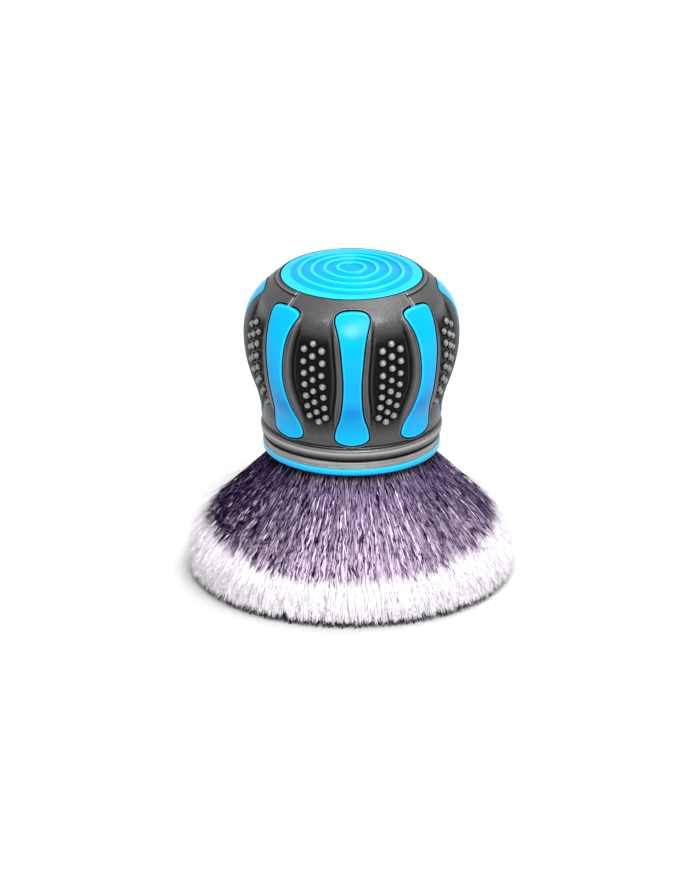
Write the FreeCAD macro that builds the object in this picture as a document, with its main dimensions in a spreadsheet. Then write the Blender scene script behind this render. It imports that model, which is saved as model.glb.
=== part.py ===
"""Palm-held fade brush: a domed knob with a soft grip, and a flared bundle of fibres.

Frame: +Z is the brush's axis, pointing up through the knob. The origin is on the axis, in the
plane of the fibre tips, which the brush stands on. All sizes are in millimetres.
"""
import FreeCAD, Part
import math
import os
import Sketcher

os.makedirs("parts", exist_ok=True)
document = FreeCAD.newDocument("fade_brush")

# --------------------------------------------------------------------------------------------
# Driving dimensions
# --------------------------------------------------------------------------------------------

SIZES = {
    # heights above the fibre tips
    "mouth_height": 39.2,
    "rim_top": 41.1,
    "band_top": 43.3,
    "seam_height": 47.8,
    "disc_height": 91.2,
    # the bands at the mouth of the handle
    "rim_radius": 25.35,
    "rim_inner_radius": 21.7,
    "rim_round": 0.4,
    "band_radius": 25.3,
    "collar_edge_radius": 25.3,
    "collar_arc_radius": 3.75,
    # the ferrule cup and its spigot, which plugs into the core
    "cup_radius": 23.4,
    "cup_inner_radius": 21.6,
    "cup_shelf_height": 45.9,
    "spigot_radius": 20.55,
    "spigot_inner_radius": 19.0,
    "spigot_top": 56.0,
    "spigot_roof": 54.4,
    # the resin plug and the fibres set in it
    "plug_bottom": 50.0,
    "root_radius": 18.8,
    "sole_radius": 44.4,
    # walls of the knob
    "grip_thickness": 3.0,
    "core_thickness": 2.2,
    "core_top": 89.75,
    # the top disc and the skirt that snaps into the core
    "disc_radius": 20.2,
    "disc_underside": 89.8,
    "disc_rise": 2.6,
    "dimple_radius": 3.1,
    "dimple_depth": 0.3,
    "ripple_first": 5.8,
    "ripple_pitch": 3.75,
    "ripple_bite": 0.4,
    "ripple_tool_radius": 1.4,
    "snap_skirt_radius": 15.6,
    "snap_skirt_inner_radius": 14.2,
    "snap_skirt_bottom": 84.8,
    # ribs, with a scooped panel between each two
    "rib_count": 8,
    "rib_half_angle": 9.4,
    "panel_depth": 1.4,
    # inlays
    "pad_depth": 2.0,
    "pad_crown": 0.3,
    # nub strips
    "strip_half_angle": 9.6,
    "strip_bottom": 53.6,
    "strip_top": 83.0,
    "nub_radius": 1.05,
    "nub_height": 0.8,
    "nub_first_height": 55.1,
    "nub_pitch": 3.52,
    "nub_column_angle": 5.5,
    "nub_rows": 8,
    # fine parting grooves round the disc
    "groove_width": 0.6,
    "groove_depth": 0.5,
    "groove_radius": 22.3,
    # clearance between pieces that fit into each other
    "fit_gap": 0.05,
}

# The grip's outline, as height above the handle's mouth and radius: waist, belly, shoulder.
GRIP_OUTLINE = [
    (8.6, 25.85), (13.0, 25.95), (18.5, 27.75), (25.0, 30.0), (33.0, 30.95),
    (40.0, 30.1), (45.5, 27.5), (49.5, 23.7), (52.0, 20.6),
]
# A panel's scoop: it leaves the outline at the first and last height, and is full between.
PANEL_ENDS = (11.0, 47.8)
PANEL_FULL = (14.2, 44.0)
SCOOP_OVERRUN = 0.3              # how far outside the outline a scoop's floor ends
# An inlay's side, as height above the handle's mouth and half width, and its rounded ends.
PAD_SIDE = [
    (47.6, 4.85), (43.2, 3.9), (36.2, 3.0), (29.5, 2.62), (22.5, 2.85), (17.1, 3.75), (12.0, 5.05),
]
PAD_TOP_KNEE = (48.85, 4.45)     # a point of the top corner's arc
PAD_TOP_EDGE = (49.4, 3.1)       # where that arc meets the straight top
PAD_FOOT_KNEE = (10.75, 4.8)     # a point of the bottom corner's arc
PAD_FOOT_EDGE = (10.1, 3.9)      # where that arc meets the rounded foot
PAD_FOOT = (9.5, 0.0)            # the lowest point of the foot
# The fibre skirt's outline below the handle's mouth: a straight flare that turns down at the rim.
SKIRT_OUTLINE = [(39.2, 20.4), (34.2, 24.6), (24.2, 35.5), (14.2, 44.0), (8.0, 46.4), (1.2, 45.6)]

AXIS = FreeCAD.Vector(0, 0, 1)
ORIGIN = FreeCAD.Vector(0, 0, 0)
OUTWARD = FreeCAD.Vector(1, 0, 0)
BEYOND = 60.0                    # reach of a cutting tool past everything that it cuts
FRONT = -90.0                    # turn that takes the +X station to the front

sheet = document.addObject("Spreadsheet::Sheet", "sizes")
for row, (alias, number) in enumerate(SIZES.items(), start=1):
    sheet.set(f"A{row}", alias)
    sheet.set(f"B{row}", str(number))
    sheet.setAlias(f"B{row}", alias)
document.recompute()

sub_parts = []

# --------------------------------------------------------------------------------------------
# Reading the sheet
# --------------------------------------------------------------------------------------------


def size(alias):
    """A driving dimension, read from the spreadsheet."""
    return float(getattr(sheet, alias))


def cell(alias):
    """A dimension for a sketch: its value, and the expression that binds it to the sheet."""
    return size(alias), f"sizes.{alias}"


def plus(first, second, times=1.0):
    """The sum of two sketch dimensions, the second taken a number of times."""
    return first[0] + times * second[0], f"{first[1]} + {times} * {second[1]}"


def above_mouth(height):
    """A height above the handle's mouth, as a height in the frame."""
    return height + size("mouth_height")


ON_AXIS = (0.0, None)

# --------------------------------------------------------------------------------------------
# Turned pieces: PartDesign bodies
# --------------------------------------------------------------------------------------------


def add_body(name):
    """An empty body with the sub-part's label."""
    body = document.addObject("PartDesign::Body", name)
    body.Label = name
    sub_parts.append(body)
    return body


def origin_plane(body, role):
    """One of the body's own origin planes."""
    return next(plane for plane in body.Origin.OriginFeatures if plane.Role == role)


def add_sketch(body, name, role):
    """A sketch on one of the body's origin planes."""
    sketch = body.newObject("Sketcher::SketchObject", name)
    sketch.AttachmentSupport = [(origin_plane(body, role), "")]
    sketch.MapMode = "FlatFace"
    return sketch


def bind(sketch, kind, target, dimension):
    """A distance constraint bound to the sheet."""
    value, expression = dimension
    number = sketch.addConstraint(Sketcher.Constraint(kind, *target, value))
    sketch.setExpression(f"Constraints[{number}]", expression)


def bulge(first, second, radius):
    """An arc from one corner to the next, bulging to the right of the way there."""
    chord = second - first
    half = chord.Length / 2
    rise = radius - (radius ** 2 - half ** 2) ** 0.5
    outward = FreeCAD.Vector(chord.y, -chord.x, 0).normalize()
    middle = (first + second) / 2 + outward * rise
    return Part.Arc(first, middle, second)


def draw_section(sketch, corners, arcs=None):
    """A closed section; corners are (radius, height) dimensions, arcs bulge after a corner."""
    arcs = arcs or {}
    count = len(corners)
    spots = [FreeCAD.Vector(radius[0], height[0], 0) for radius, height in corners]
    starts = []
    ends = []
    for index in range(count):
        first = spots[index]
        second = spots[(index + 1) % count]
        if index in arcs:
            sketch.addGeometry(bulge(first, second, arcs[index]), False)
        else:
            sketch.addGeometry(Part.LineSegment(first, second), False)
        flipped = sketch.getPoint(index, 1).distanceToPoint(first) > 1e-6
        starts.append(2 if flipped else 1)
        ends.append(1 if flipped else 2)
    for index in range(count):
        following = (index + 1) % count
        joint = (index, ends[index], following, starts[following])
        sketch.addConstraint(Sketcher.Constraint("Coincident", *joint))
    for index, (radius, height) in enumerate(corners):
        corner = (-1, 1, index, starts[index])
        if radius is ON_AXIS:
            sketch.addConstraint(Sketcher.Constraint("PointOnObject", index, starts[index], -2))
        else:
            bind(sketch, "DistanceX", corner, radius)
        bind(sketch, "DistanceY", corner, height)


def revolve(body, sketch, kind, name):
    """Turn a section about the brush's axis, adding (Revolution) or cutting (Groove)."""
    turned = body.newObject(f"PartDesign::{kind}", name)
    turned.Profile = sketch
    turned.ReferenceAxis = (sketch, ["V_Axis"])
    turned.Angle = 360.0
    document.recompute()
    return turned


def turned_body(name, corners, arcs=None):
    """A body made by turning one section."""
    body = add_body(name)
    sketch = add_sketch(body, f"{name}_section", "XZ_Plane")
    draw_section(sketch, corners, arcs)
    revolve(body, sketch, "Revolution", f"{name}_turned")
    return body


def round_rims(body, radius_alias, round_alias):
    """Fillet the body's circular edges of one radius."""
    base = body.Tip
    names = []
    for number, edge in enumerate(base.Shape.Edges, start=1):
        is_circle = isinstance(edge.Curve, Part.Circle)
        if is_circle and abs(edge.Curve.Radius - size(radius_alias)) < 1e-6:
            names.append(f"Edge{number}")
    fillet = body.newObject("PartDesign::Fillet", f"{body.Label}_round")
    fillet.Base = (base, names)
    fillet.Radius = size(round_alias)
    fillet.setExpression("Radius", f"sizes.{round_alias}")
    document.recompute()


def make_rim_ring():
    """The thin ring that finishes the handle's mouth."""
    body = turned_body("rim_ring", [
        (cell("rim_inner_radius"), cell("mouth_height")),
        (cell("rim_radius"), cell("mouth_height")),
        (cell("rim_radius"), cell("rim_top")),
        (cell("rim_inner_radius"), cell("rim_top")),
    ])
    round_rims(body, "rim_radius", "rim_round")


def make_lower_band():
    """The flat band between the rim ring and the collar."""
    bore = plus(cell("cup_radius"), cell("fit_gap"))
    turned_body("lower_band", [
        (bore, cell("rim_top")),
        (cell("band_radius"), cell("rim_top")),
        (cell("band_radius"), cell("band_top")),
        (bore, cell("band_top")),
    ])


def make_collar_ring():
    """The rolled bead below the grip."""
    bore = plus(cell("cup_radius"), cell("fit_gap"))
    bead = {1: size("collar_arc_radius")}
    body = turned_body("collar_ring", [
        (bore, cell("band_top")),
        (cell("collar_edge_radius"), cell("band_top")),
        (cell("collar_edge_radius"), cell("seam_height")),
        (bore, cell("seam_height")),
    ], bead)
    sketch = document.getObject("collar_ring_section")
    bind(sketch, "Radius", (1,), cell("collar_arc_radius"))
    document.recompute()
    return body


def make_ferrule_cup():
    """The cup that holds the fibres, with a spigot that plugs into the core."""
    turned_body("ferrule_cup", [
        (cell("cup_inner_radius"), cell("rim_top")),
        (cell("cup_radius"), cell("rim_top")),
        (cell("cup_radius"), cell("seam_height")),
        (cell("spigot_radius"), cell("seam_height")),
        (cell("spigot_radius"), cell("spigot_top")),
        (ON_AXIS, cell("spigot_top")),
        (ON_AXIS, cell("spigot_roof")),
        (cell("spigot_inner_radius"), cell("spigot_roof")),
        (cell("spigot_inner_radius"), cell("cup_shelf_height")),
        (cell("cup_inner_radius"), cell("cup_shelf_height")),
    ])


def make_root_plug():
    """The hardened resin that the fibre roots are set in."""
    radius = plus(cell("spigot_inner_radius"), cell("fit_gap"), -1.0)
    turned_body("root_plug", [
        (ON_AXIS, cell("plug_bottom")),
        (radius, cell("plug_bottom")),
        (radius, cell("spigot_roof")),
        (ON_AXIS, cell("spigot_roof")),
    ])


def dome_radius():
    """Radius of the sphere that the top disc's face is part of."""
    rise = size("disc_rise")
    return (size("disc_radius") ** 2 + rise ** 2) / (2 * rise)


def make_top_cap():
    """The domed palm disc, with ripples, a dimple and the skirt that snaps into the core."""
    apex = plus(cell("disc_height"), cell("disc_rise"))
    dome = {6: dome_radius()}
    body = turned_body("top_cap", [
        (ON_AXIS, cell("disc_underside")),
        (cell("snap_skirt_inner_radius"), cell("disc_underside")),
        (cell("snap_skirt_inner_radius"), cell("snap_skirt_bottom")),
        (cell("snap_skirt_radius"), cell("snap_skirt_bottom")),
        (cell("snap_skirt_radius"), cell("disc_underside")),
        (cell("disc_radius"), cell("disc_underside")),
        (cell("disc_radius"), cell("disc_height")),
        (ON_AXIS, apex),
    ], dome)
    sketch = document.getObject("top_cap_section")
    sketch.addConstraint(Sketcher.Constraint("PointOnObject", 6, 3, -2))
    document.recompute()

    ripples = add_sketch(body, "top_cap_ripples", "XZ_Plane")
    centre_height = size("disc_height") + size("disc_rise") - dome_radius()
    reach = dome_radius() + size("ripple_tool_radius") - size("ripple_bite")
    for index in range(4):
        radius = plus(cell("ripple_first"), cell("ripple_pitch"), index)
        height = centre_height + (reach ** 2 - radius[0] ** 2) ** 0.5
        centre = FreeCAD.Vector(radius[0], height, 0)
        flat = FreeCAD.Vector(0, 0, 1)
        ripples.addGeometry(Part.Circle(centre, flat, size("ripple_tool_radius")), False)
        bind(ripples, "Radius", (index,), cell("ripple_tool_radius"))
        bind(ripples, "DistanceX", (-1, 1, index, 3), radius)
        ripples.addConstraint(Sketcher.Constraint("DistanceY", -1, 1, index, 3, height))
    cut_and_compare(body, lambda: revolve(body, ripples, "Groove", "top_cap_grooves"))

    dimple = add_sketch(body, "top_cap_dimple", "XY_Plane")
    lift = size("disc_height") + size("disc_rise") - size("dimple_depth")
    dimple.AttachmentOffset = FreeCAD.Placement(FreeCAD.Vector(0, 0, lift), FreeCAD.Rotation())
    dimple.addGeometry(Part.Circle(ORIGIN, AXIS, size("dimple_radius")), False)
    dimple.addConstraint(Sketcher.Constraint("Coincident", 0, 3, -1, 1))
    bind(dimple, "Radius", (0,), cell("dimple_radius"))
    cut_and_compare(body, lambda: pocket(body, dimple, "top_cap_pocket"))


def pocket(body, sketch, name):
    """Cut upwards from a sketch by its lift."""
    cut = body.newObject("PartDesign::Pocket", name)
    cut.Profile = sketch
    cut.Reversed = True
    cut.Length = size("disc_rise")
    cut.setExpression("Length", "sizes.disc_rise")
    document.recompute()
    return cut


def cut_and_compare(body, make_cut):
    """Make a cut and check that it took something away."""
    before = body.Shape.Volume
    make_cut()
    if body.Shape.Volume > before - 0.5:
        raise ValueError(f"{body.Label}: a cut removed nothing")


# --------------------------------------------------------------------------------------------
# The knob's curved pieces: Part shapes worked out from the sheet
# --------------------------------------------------------------------------------------------


def add_feature(name, shape, turn=0.0):
    """A sub-part whose shape is worked out from the sheet, turned about the axis."""
    if len(shape.Solids) != 1:
        raise ValueError(f"{name}: expected one solid, found {len(shape.Solids)}")
    feature = document.addObject("Part::Feature", name)
    feature.Label = name
    feature.Shape = shape.Solids[0]
    feature.Placement = FreeCAD.Placement(ORIGIN, FreeCAD.Rotation(AXIS, turn))
    sub_parts.append(feature)


def section_point(radius, height):
    """A point of a half section."""
    return FreeCAD.Vector(radius, 0, height)


def line(first, second):
    """A straight edge."""
    return Part.LineSegment(first, second).toShape()


def smooth(points):
    """One smooth edge through the points."""
    curve = Part.BSplineCurve()
    curve.interpolate(points)
    return curve.toShape()


def spin(edges, angle=360.0):
    """Turn a closed section about the axis; a part turn is centred on the +X station."""
    solid = Part.Face(Part.Wire(edges)).revolve(ORIGIN, AXIS, angle)
    solid.rotate(ORIGIN, AXIS, -angle / 2)
    return solid


def grip_points(inset):
    """The grip's outline moved inwards."""
    return [section_point(radius - inset, above_mouth(height)) for height, radius in GRIP_OUTLINE]


def grip_layer(outer_inset, inner_inset, angle=360.0):
    """The shell between two depths below the grip's outline."""
    outer = grip_points(outer_inset)
    inner = grip_points(inner_inset)
    edges = [smooth(outer), line(outer[-1], inner[-1]), smooth(inner), line(inner[0], outer[0])]
    return spin(edges, angle)


def grip_radius(height):
    """The grip outline's radius at a height above the handle's mouth."""
    curve = smooth(grip_points(0.0))
    level = Part.Plane(FreeCAD.Vector(0, 0, above_mouth(height)), AXIS).toShape()
    return curve.section(level).Vertexes[0].Point.x


def stations(shape, offset=0.0):
    """Copies of a shape at every rib, or between ribs with an offset of half a step."""
    count = int(size("rib_count"))
    step = 360.0 / count
    copies = []
    for index in range(count):
        copy = shape.copy()
        copy.rotate(ORIGIN, AXIS, (index + offset) * step)
        copies.append(copy)
    return copies


def sector(half_angle, bottom, top):
    """A wedge of space round the +X station, between two heights."""
    low = section_point(0.0, bottom)
    far_low = section_point(BEYOND, bottom)
    far_high = section_point(BEYOND, top)
    high = section_point(0.0, top)
    edges = [line(low, far_low), line(far_low, far_high), line(far_high, high), line(high, low)]
    return spin(edges, 2 * half_angle)


def panel_scoop():
    """The space that is scooped out of the grip between two ribs, at the +X station."""
    depth = size("panel_depth")
    low, high = PANEL_ENDS
    full_low, full_high = PANEL_FULL
    floor = [section_point(grip_radius(low) + SCOOP_OVERRUN, above_mouth(low))]
    floor.append(section_point(grip_radius(full_low) - depth, above_mouth(full_low)))
    for height, radius in GRIP_OUTLINE:
        if full_low < height < full_high:
            floor.append(section_point(radius - depth, above_mouth(height)))
    floor.append(section_point(grip_radius(full_high) - depth, above_mouth(full_high)))
    floor.append(section_point(grip_radius(high) + SCOOP_OVERRUN, above_mouth(high)))
    out_high = section_point(BEYOND, above_mouth(high))
    out_low = section_point(BEYOND, above_mouth(low))
    edges = [smooth(floor), line(floor[-1], out_high), line(out_high, out_low)]
    edges.append(line(out_low, floor[0]))
    half_angle = 180.0 / size("rib_count") - size("rib_half_angle")
    return spin(edges, 2 * half_angle)


def pad_prism(grow):
    """A dog-bone bar along +X, in the outline of an inlay grown by a clearance."""
    middle = (PAD_TOP_EDGE[0] + PAD_FOOT[0]) / 2

    def spot(place, side):
        height, half_width = place
        height += grow if height > middle else -grow
        return FreeCAD.Vector(0, side * (half_width + grow), above_mouth(height))

    edges = []
    for side in (1, -1):
        flank = [spot(place, side) for place in PAD_SIDE]
        top_knee = spot(PAD_TOP_KNEE, side)
        foot_knee = spot(PAD_FOOT_KNEE, side)
        edges.append(smooth(flank))
        edges.append(Part.Arc(flank[0], top_knee, spot(PAD_TOP_EDGE, side)).toShape())
        edges.append(Part.Arc(flank[-1], foot_knee, spot(PAD_FOOT_EDGE, side)).toShape())
    edges.append(line(spot(PAD_TOP_EDGE, 1), spot(PAD_TOP_EDGE, -1)))
    foot = FreeCAD.Vector(0, 0, above_mouth(PAD_FOOT[0] - grow))
    edges.append(Part.Arc(spot(PAD_FOOT_EDGE, 1), foot, spot(PAD_FOOT_EDGE, -1)).toShape())
    wire = Part.Wire(Part.__sortEdges__(edges))
    return Part.Face(wire).extrude(FreeCAD.Vector(BEYOND, 0, 0))


def strip_sector(clearance):
    """The window of a nub strip at the +X station, shrunk by a clearance."""
    turn = math.degrees(clearance / size("cup_radius"))
    bottom = size("strip_bottom") + clearance
    top = size("strip_top") - clearance
    return sector(size("strip_half_angle") - turn, bottom, top)


def parting_grooves():
    """Shallow grooves: an arc beside the disc on each flank, and a notch at each diagonal."""
    width = size("groove_width")
    radius = size("groove_radius")
    skin = grip_layer(-1.0, size("groove_depth"))
    low = above_mouth(PANEL_ENDS[1])
    ring = Part.makeCylinder(radius + width / 2, BEYOND, section_point(0, low))
    ring = ring.cut(Part.makeCylinder(radius - width / 2, BEYOND, section_point(0, low)))
    quarter = ring.common(sector(45.0, low, low + BEYOND))
    notch_length = radius + 2.0 - size("disc_radius")
    notch_corner = FreeCAD.Vector(size("disc_radius") - 0.5, -width / 2, low)
    notch = Part.makeBox(notch_length, width, BEYOND, notch_corner)
    tools = []
    for turn in (0.0, 180.0):
        arc = quarter.copy()
        arc.rotate(ORIGIN, AXIS, turn)
        tools.append(arc)
    for turn in (45.0, 135.0, 225.0, 315.0):
        cut = notch.copy()
        cut.rotate(ORIGIN, AXIS, turn)
        tools.append(cut)
    return [tool.common(skin) for tool in tools]


def make_core_shell():
    """The hollow hard knob inside the grip."""
    outer = size("grip_thickness") + size("fit_gap")
    shell = grip_layer(outer, outer + size("core_thickness"))
    height = size("core_top") - size("seam_height")
    keep = Part.makeCylinder(BEYOND, height, section_point(0, size("seam_height")))
    add_feature("core_shell", shell.common(keep))


def make_grip_sleeve(scoop):
    """The soft grip: eight ribs, scooped panels, and pockets for the inlays and strips."""
    gap = size("fit_gap")
    sleeve = grip_layer(0.0, size("grip_thickness"))
    pad_room = grip_layer(-1.0, size("pad_depth") + gap).common(pad_prism(gap))
    seat = Part.makeCylinder(size("disc_radius") + gap, BEYOND, section_point(0, size("core_top")))
    tools = stations(scoop, 0.5)
    tools += stations(strip_sector(0.0), 0.5)
    tools += stations(pad_room)
    tools += parting_grooves()
    tools.append(seat)
    add_feature("grip_sleeve", sleeve.cut(tools))


def make_grip_pads():
    """Eight dog-bone inlays, one on each rib, numbered from the front."""
    layer = grip_layer(-size("pad_crown"), size("pad_depth"), 60.0)
    pad = layer.common(pad_prism(0.0))
    count = int(size("rib_count"))
    for index in range(count):
        add_feature(f"grip_pad_{index + 1}", pad, FRONT + index * 360.0 / count)


def nub_places():
    """Angle and height of every nub in one strip: three staggered columns."""
    rows = int(size("nub_rows"))
    for column in (-1, 0, 1):
        is_side = column != 0
        for row in range(rows - 1 if is_side else rows):
            rise = (row + (0.5 if is_side else 0.0)) * size("nub_pitch")
            yield column * size("nub_column_angle"), size("nub_first_height") + rise


def make_nub_strips(scoop):
    """Eight strips of staggered nubs, one in each panel, numbered from the front."""
    strip = grip_layer(0.0, size("grip_thickness"), 60.0)
    strip = strip.common(strip_sector(size("fit_gap"))).cut(scoop)
    sunk = size("nub_radius") - size("nub_height")
    nubs = []
    for angle, height in nub_places():
        radius = grip_radius(height - size("mouth_height")) - size("panel_depth") - sunk
        nub = Part.makeSphere(size("nub_radius"), section_point(radius, height), OUTWARD)
        nub.rotate(ORIGIN, AXIS, angle)
        nubs.append(nub)
    strip = strip.fuse(nubs)
    count = int(size("rib_count"))
    step = 360.0 / count
    for index in range(count):
        add_feature(f"nub_strip_{index + 1}", strip, FRONT + (index + 0.5) * step)


def make_bristle_bundle():
    """The fibres, from their roots in the resin to the flared rim and the flat tips."""
    root = section_point(size("root_radius"), size("plug_bottom"))
    neck = section_point(size("root_radius"), size("cup_shelf_height"))
    flare = [section_point(radius, height) for height, radius in SKIRT_OUTLINE]
    sole = section_point(size("sole_radius"), 0.0)
    edges = [
        line(section_point(0, 0), section_point(0, size("plug_bottom"))),
        line(section_point(0, size("plug_bottom")), root),
        line(root, neck),
        line(neck, flare[0]),
        smooth(flare),
        line(flare[-1], sole),
        line(sole, section_point(0, 0)),
    ]
    add_feature("bristle_bundle", spin(edges))


# --------------------------------------------------------------------------------------------
# Build, check and write
# --------------------------------------------------------------------------------------------


def check_model():
    """Stop on any failed object or bad shape."""
    for item in document.Objects:
        if "Invalid" in item.State or "Error" in item.State:
            raise ValueError(f"{item.Label} failed: {item.State}")
    for part in sub_parts:
        shape = part.Shape
        if shape.isNull() or not shape.isValid():
            raise ValueError(f"{part.Label} has no valid shape")
        print(f"{part.Label}: {len(shape.Solids)} solid, {shape.Volume:.0f} mm3")


def write_parts():
    """One STEP file for each sub-part, named after it."""
    for part in sub_parts:
        part.Shape.exportStep(f"parts/{part.Label}.step")


make_top_cap()
panel = panel_scoop()
make_grip_sleeve(panel)
make_grip_pads()
make_nub_strips(panel)
make_collar_ring()
make_lower_band()
make_rim_ring()
make_core_shell()
make_ferrule_cup()
make_root_plug()
make_bristle_bundle()
document.recompute()
check_model()
write_parts()
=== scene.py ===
"""The looks of a palm-held fade brush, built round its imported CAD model.

Lengths are worked out in millimetres and turned into metres when a mesh is made. The brush
stands on its fibre tips; +Z is its axis, and the front is towards -Y.
"""
import math

import bpy
import numpy as np
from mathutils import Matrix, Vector


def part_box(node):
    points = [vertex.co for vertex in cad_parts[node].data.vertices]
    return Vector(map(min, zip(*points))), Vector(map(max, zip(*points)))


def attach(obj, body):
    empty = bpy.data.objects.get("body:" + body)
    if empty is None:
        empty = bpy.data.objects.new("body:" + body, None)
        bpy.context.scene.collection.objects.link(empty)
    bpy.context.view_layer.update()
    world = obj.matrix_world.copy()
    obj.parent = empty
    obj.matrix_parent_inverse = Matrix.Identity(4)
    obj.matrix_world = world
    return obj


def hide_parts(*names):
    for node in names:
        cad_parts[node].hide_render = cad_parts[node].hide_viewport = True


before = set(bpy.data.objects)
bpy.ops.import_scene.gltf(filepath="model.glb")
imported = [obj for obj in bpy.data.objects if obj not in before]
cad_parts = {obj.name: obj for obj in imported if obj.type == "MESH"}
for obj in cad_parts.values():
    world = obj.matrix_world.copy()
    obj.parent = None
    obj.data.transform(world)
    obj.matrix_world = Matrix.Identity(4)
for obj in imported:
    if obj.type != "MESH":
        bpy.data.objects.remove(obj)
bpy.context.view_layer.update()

# ---- Places and sizes, from the frame ----

MM = 0.001
TAU = 2.0 * math.pi
FRONT = -0.25 * TAU
STATIONS = 8
STEP = TAU / STATIONS
SEEDS = {"nubs": 400, "body": 77, "strands": 900, "strays": 31, "sole": 53}


def low(node):
    """A node's lowest height, in millimetres."""
    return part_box(node)[0].z / MM


def high(node):
    """A node's highest height, in millimetres."""
    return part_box(node)[1].z / MM


def radius_of(node):
    """Half of a round node's width, in millimetres."""
    corner_low, corner_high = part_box(node)
    return 0.5 * (corner_high.x - corner_low.x) / MM


MOUTH = low("rim_ring")                       # underside of the handle
RIM_TOP = high("rim_ring") - MOUTH            # the rest are heights above the mouth
BAND_TOP = high("lower_band") - MOUTH
SEAM = high("collar_ring") - MOUTH
GRIP_TOP = high("grip_sleeve") - MOUTH
DISC_RADIUS = radius_of("top_cap")
RIM_RADIUS = radius_of("rim_ring")
BAND_RADIUS = radius_of("lower_band")
COLLAR_RADIUS = radius_of("collar_ring")

# ---- Small maths ----


def smooth_line(points):
    """A natural cubic spline through (x, y) points, as a function of an array."""
    xs, ys = np.array(points, float).T
    gaps = np.diff(xs)
    count = len(xs)
    system = np.eye(count)
    right = np.zeros(count)
    for i in range(1, count - 1):
        system[i, i - 1:i + 2] = gaps[i - 1], 2 * (gaps[i - 1] + gaps[i]), gaps[i]
        right[i] = 6 * ((ys[i + 1] - ys[i]) / gaps[i] - (ys[i] - ys[i - 1]) / gaps[i - 1])
    bend = np.linalg.solve(system, right)

    def value(x):
        x = np.clip(np.asarray(x, float), xs[0], xs[-1])
        i = np.clip(np.searchsorted(xs, x, side="right") - 1, 0, count - 2)
        a = xs[i + 1] - x
        b = x - xs[i]
        g = gaps[i]
        curve = (bend[i] * a ** 3 + bend[i + 1] * b ** 3) / (6 * g)
        line = (ys[i] / g - bend[i] * g / 6) * a + (ys[i + 1] / g - bend[i + 1] * g / 6) * b
        return curve + line

    return value


def ease(x, start, end):
    """0 before start, 1 after end, and smooth between; end may be below start."""
    t = np.clip((np.asarray(x, float) - start) / (end - start), 0.0, 1.0)
    return t * t * (3.0 - 2.0 * t)


def ripple(x, middle, width):
    """A soft ridge of height 1."""
    return np.exp(-((x - middle) / width) ** 2)


def spread(pieces):
    """Joins (start, end, count) stretches into one rising row of numbers."""
    row = [np.linspace(start, end, count, endpoint=False) for start, end, count in pieces]
    return np.concatenate(row + [[pieces[-1][1]]])


def round_axis(radius, turn, height):
    """Points at a radius, a turn about the axis and a height."""
    x = radius * np.cos(turn)
    y = radius * np.sin(turn)
    return np.stack(np.broadcast_arrays(x, y, height), axis=-1)


# The grip's outline: height above the mouth, radius.
grip_radius = smooth_line([
    (8.6, 25.85), (13.0, 25.95), (18.5, 27.75), (25.0, 30.0), (33.0, 30.95),
    (40.0, 30.1), (45.5, 27.5), (49.5, 23.7), (52.0, 20.6),
])

# The moulded stations stand a little unevenly: degrees away from an even spacing, at the foot
# and at the top of the grip, for every half quarter of the turn from the back round to the back.
LEAN_PLACES = np.arange(-180.0, 181.0, 45.0)
LEAN_FOOT = (0.0, -5.5, -8.5, 1.8, 0.2, -0.5, 8.5, 5.5, 0.0)
LEAN_TOP = (0.0, -3.0, -4.2, -1.7, 0.9, 1.3, 4.2, 3.0, 0.0)
LEAN_BOW = (0.0, -2.8, -4.2, 0.0, 0.0, 0.0, 4.2, 2.8, 0.0)


def leaned(points, places=None):
    """Points of the grip, turned about the axis by the lean of the station that they are on.

    The lean is read at the points themselves, or at their places when those are given.
    """
    x, y, z = np.asarray(points if places is None else places, float).T
    turn = np.degrees(np.arctan2(x, -y))
    share = (z - MOUTH - SEAM) / (GRIP_TOP - SEAM)
    foot = np.interp(turn, LEAN_PLACES, LEAN_FOOT)
    top = np.interp(turn, LEAN_PLACES, LEAN_TOP)
    bow = np.interp(turn, LEAN_PLACES, LEAN_BOW)
    angle = np.radians(foot + (top - foot) * share + 4 * bow * share * (1 - share))
    x, y, z = np.asarray(points, float).T
    turned_x = x * np.cos(angle) - y * np.sin(angle)
    turned_y = x * np.sin(angle) + y * np.cos(angle)
    return np.stack([turned_x, turned_y, z], axis=-1)


# ---- Meshes ----


def make_piece(name, points_mm, faces, material, replaces=(), marks=None):
    """A smooth mesh piece that rides on the handle; marks are float attributes of its points."""
    mesh = bpy.data.meshes.new(name)
    points = np.asarray(points_mm, np.float32) * MM
    faces = np.asarray(faces, np.int32)
    sides = faces.shape[1]
    mesh.vertices.add(len(points))
    mesh.vertices.foreach_set("co", points.ravel())
    mesh.loops.add(faces.size)
    mesh.loops.foreach_set("vertex_index", faces.ravel())
    mesh.polygons.add(len(faces))
    mesh.polygons.foreach_set("loop_start", np.arange(len(faces), dtype=np.int32) * sides)
    mesh.update(calc_edges=True)
    mesh.validate()
    mesh.shade_smooth()
    for label, values in (marks or {}).items():
        mark = mesh.attributes.new(label, "FLOAT", "POINT")
        mark.data.foreach_set("value", np.asarray(values, np.float32))
    mesh.materials.append(material)
    piece = bpy.data.objects.new(name, mesh)
    bpy.context.scene.collection.objects.link(piece)
    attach(piece, "root")
    if replaces:
        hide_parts(*replaces)
    return piece


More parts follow.
